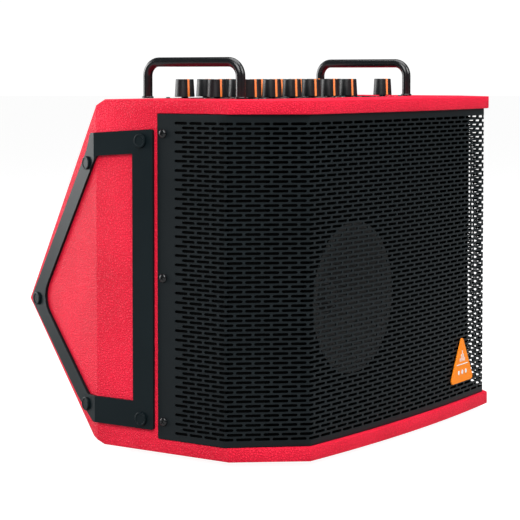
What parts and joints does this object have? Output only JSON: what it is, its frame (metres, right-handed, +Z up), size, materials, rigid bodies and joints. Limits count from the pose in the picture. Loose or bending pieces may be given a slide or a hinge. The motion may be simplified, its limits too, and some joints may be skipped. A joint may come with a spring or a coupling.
{
  "type": "guitar amplifier",
  "caption": "Portable wedge-backed combo amplifier: folded grille, top controls, two tube handles, steel side guards, drivers inside.",
  "frame": {"origin": "on the floor under the feet, at the middle of the footprint", "axes": "+X to the right seen from the front, +Y backwards towards the wedge, +Z up"},
  "size_m": [0.5002, 0.3859, 0.4095],
  "materials": {
    "covering": "pebble-grain covering cloth on board",
    "powder_coat": "satin black powder coat",
    "black_plastic": "moulded, satin",
    "black_board": "matt black paint",
    "orange_badge": "printed plate",
    "rubber": "moulded",
    "paper_cone": "pressed paper pulp",
    "magnet": "ferrite and steel",
    "circuit_board": "solder mask",
    "module_case": "folded sheet",
    "battery_wrap": "shrink wrap"
  },
  "bodies": {
    "root": {"baffle_board": "black_board", "battery_pack": "battery_wrap", "bottom_board": "covering", "control_plate": "powder_coat", "front_grille": "powder_coat", "grille_badge": "orange_badge", "input_jack_strip": "black_plastic", "left_front_foot": "rubber", "left_guard_bolt_apex": "powder_coat", "left_guard_bolt_front_lower": "powder_coat", "left_guard_bolt_front_upper": "powder_coat", "left_guard_bolt_rear_lower": "powder_coat", "left_guard_bolt_rear_upper": "powder_coat", "left_handle": "powder_coat", "left_rear_cheek": "covering", "left_rear_foot": "rubber", "left_side_board": "covering", "left_side_guard": "powder_coat", "left_tweeter": "black_plastic", "lower_rear_board": "covering", "mixer_board": "circuit_board", "power_amp_module": "module_case", "power_inlet": "black_plastic", "rear_panel": "powder_coat", "right_front_foot": "rubber", "right_guard_bolt_apex": "powder_coat", "right_guard_bolt_front_lower": "powder_coat", "right_guard_bolt_front_upper": "powder_coat", "right_guard_bolt_rear_lower": "powder_coat", "right_guard_bolt_rear_upper": "powder_coat", "right_handle": "powder_coat", "right_rear_cheek": "covering", "right_rear_foot": "rubber", "right_side_board": "covering", "right_side_guard": "powder_coat", "right_tweeter": "black_plastic", "top_board": "covering", "upper_rear_board": "covering", "woofer_frame": "powder_coat", "woofer_magnet": "magnet"},
    "front_knob_1": {"front_knob_1": "black_plastic"},
    "front_knob_2": {"front_knob_2": "black_plastic"},
    "front_knob_3": {"front_knob_3": "black_plastic"},
    "front_knob_4": {"front_knob_4": "black_plastic"},
    "front_knob_5": {"front_knob_5": "black_plastic"},
    "front_knob_6": {"front_knob_6": "black_plastic"},
    "front_knob_8": {"front_knob_8": "black_plastic"},
    "middle_knob_1": {"middle_knob_1": "black_plastic"},
    "middle_knob_2": {"middle_knob_2": "black_plastic"},
    "middle_knob_3": {"middle_knob_3": "black_plastic"},
    "middle_knob_4": {"middle_knob_4": "black_plastic"},
    "middle_knob_5": {"middle_knob_5": "black_plastic"},
    "middle_knob_6": {"middle_knob_6": "black_plastic"},
    "middle_knob_7": {"middle_knob_7": "black_plastic"},
    "rear_knob_1": {"rear_knob_1": "black_plastic"},
    "rear_knob_2": {"rear_knob_2": "black_plastic"},
    "rear_knob_3": {"rear_knob_3": "black_plastic"},
    "power_button": {"power_button": "black_plastic"},
    "power_switch": {"power_switch": "black_plastic"},
    "woofer_cone": {"woofer_cone": "paper_cone"}
  },
  "joints": [
    {"name": "front_knob_1_turn", "type": "hinge", "parent": "root", "child": "front_knob_1", "pos_m": [-0.1354, -0.07245, 0.366], "axis": [0, 0, -1], "range_deg": [0, 300]},
    {"name": "front_knob_2_turn", "type": "hinge", "parent": "root", "child": "front_knob_2", "pos_m": [-0.0966, -0.07245, 0.366], "axis": [0, 0, -1], "range_deg": [0, 300]},
    {"name": "front_knob_3_turn", "type": "hinge", "parent": "root", "child": "front_knob_3", "pos_m": [-0.0578, -0.07245, 0.366], "axis": [0, 0, -1], "range_deg": [0, 300]},
    {"name": "front_knob_4_turn", "type": "hinge", "parent": "root", "child": "front_knob_4", "pos_m": [-0.019, -0.07245, 0.366], "axis": [0, 0, -1], "range_deg": [0, 300]},
    {"name": "front_knob_5_turn", "type": "hinge", "parent": "root", "child": "front_knob_5", "pos_m": [0.0198, -0.07245, 0.366], "axis": [0, 0, -1], "range_deg": [0, 300]},
    {"name": "front_knob_6_turn", "type": "hinge", "parent": "root", "child": "front_knob_6", "pos_m": [0.0586, -0.07245, 0.366], "axis": [0, 0, -1], "range_deg": [0, 300]},
    {"name": "front_knob_8_turn", "type": "hinge", "parent": "root", "child": "front_knob_8", "pos_m": [0.1362, -0.07245, 0.366], "axis": [0, 0, -1], "range_deg": [0, 300]},
    {"name": "middle_knob_1_turn", "type": "hinge", "parent": "root", "child": "middle_knob_1", "pos_m": [-0.1354, -0.02815, 0.366], "axis": [0, 0, -1], "range_deg": [0, 300]},
    {"name": "middle_knob_2_turn", "type": "hinge", "parent": "root", "child": "middle_knob_2", "pos_m": [-0.0966, -0.02815, 0.366], "axis": [0, 0, -1], "range_deg": [0, 300]},
    {"name": "middle_knob_3_turn", "type": "hinge", "parent": "root", "child": "middle_knob_3", "pos_m": [-0.0578, -0.02815, 0.366], "axis": [0, 0, -1], "range_deg": [0, 300]},
    {"name": "middle_knob_4_turn", "type": "hinge", "parent": "root", "child": "middle_knob_4", "pos_m": [-0.019, -0.02815, 0.366], "axis": [0, 0, -1], "range_deg": [0, 300]},
    {"name": "middle_knob_5_turn", "type": "hinge", "parent": "root", "child": "middle_knob_5", "pos_m": [0.0198, -0.02815, 0.366], "axis": [0, 0, -1], "range_deg": [0, 300]},
    {"name": "middle_knob_6_turn", "type": "hinge", "parent": "root", "child": "middle_knob_6", "pos_m": [0.0586, -0.02815, 0.366], "axis": [0, 0, -1], "range_deg": [0, 300]},
    {"name": "middle_knob_7_turn", "type": "hinge", "parent": "root", "child": "middle_knob_7", "pos_m": [0.0974, -0.02815, 0.366], "axis": [0, 0, -1], "range_deg": [0, 300]},
    {"name": "rear_knob_1_turn", "type": "hinge", "parent": "root", "child": "rear_knob_1", "pos_m": [-0.1354, 0.01455, 0.366], "axis": [0, 0, -1], "range_deg": [0, 300]},
    {"name": "rear_knob_2_turn", "type": "hinge", "parent": "root", "child": "rear_knob_2", "pos_m": [-0.0966, 0.01455, 0.366], "axis": [0, 0, -1], "range_deg": [0, 300]},
    {"name": "rear_knob_3_turn", "type": "hinge", "parent": "root", "child": "rear_knob_3", "pos_m": [-0.0578, 0.01455, 0.366], "axis": [0, 0, -1], "range_deg": [0, 300]},
    {"name": "power_button_press", "type": "slide", "parent": "root", "child": "power_button", "axis": [0, 0, -1], "range_m": [0, 0.0025], "stiffness_N_per_m": 300},
    {"name": "power_switch_rock", "type": "hinge", "parent": "root", "child": "power_switch", "pos_m": [0.044, 0.10117, 0.28343], "axis": [-1, 0, 0], "range_deg": [0, 16]},
    {"name": "woofer_cone_travel", "type": "slide", "parent": "root", "child": "woofer_cone", "axis": [0, -1, 0], "range_m": [-0.003, 0.003], "stiffness_N_per_m": 2000}
  ]
}
